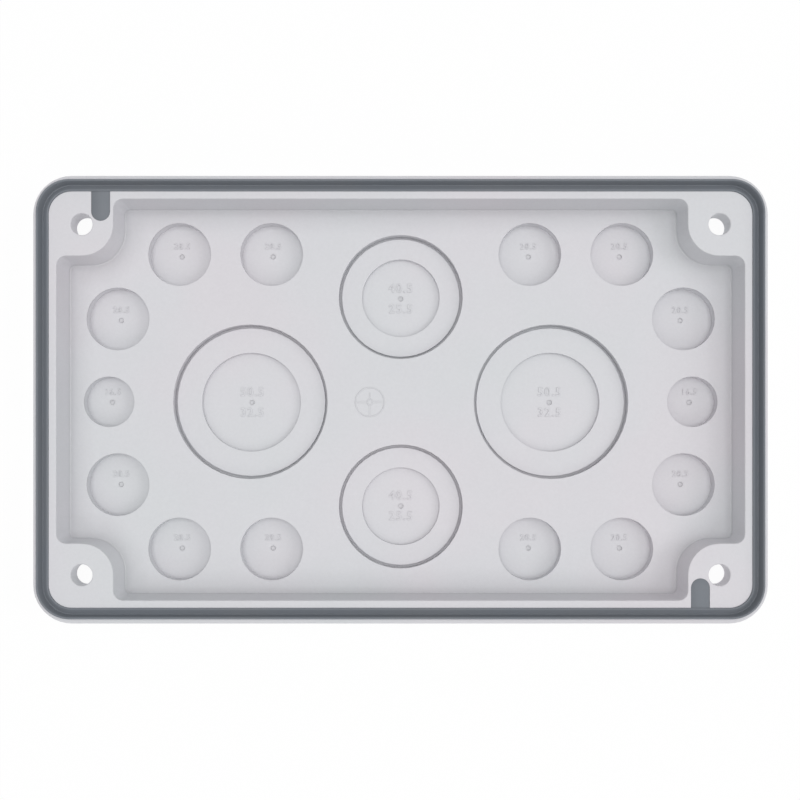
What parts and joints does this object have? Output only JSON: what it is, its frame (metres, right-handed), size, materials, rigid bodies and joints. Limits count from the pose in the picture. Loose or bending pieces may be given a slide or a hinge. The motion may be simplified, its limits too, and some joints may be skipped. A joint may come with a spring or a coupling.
{
  "type": "flange plate",
  "caption": "Moulded cable-entry flange plate: a shallow tray with knockouts in its floor, screw holes in corner pads and a rubber seal ring in its rim.",
  "frame": {"origin": "centre of the flat outer face, on which the plate lies", "axes": "+X along the plate's length, +Y across it, +Z from the outer face to the seal side"},
  "size_m": [0.233, 0.142, 0.014],
  "materials": {
    "plate_plastic": "light grey moulded plastic, fine satin texture",
    "seal_rubber": "dark grey moulded seal, matt"
  },
  "bodies": {
    "root": {"flange_plate": "plate_plastic", "gasket": "seal_rubber"}
  },
  "joints": []
}
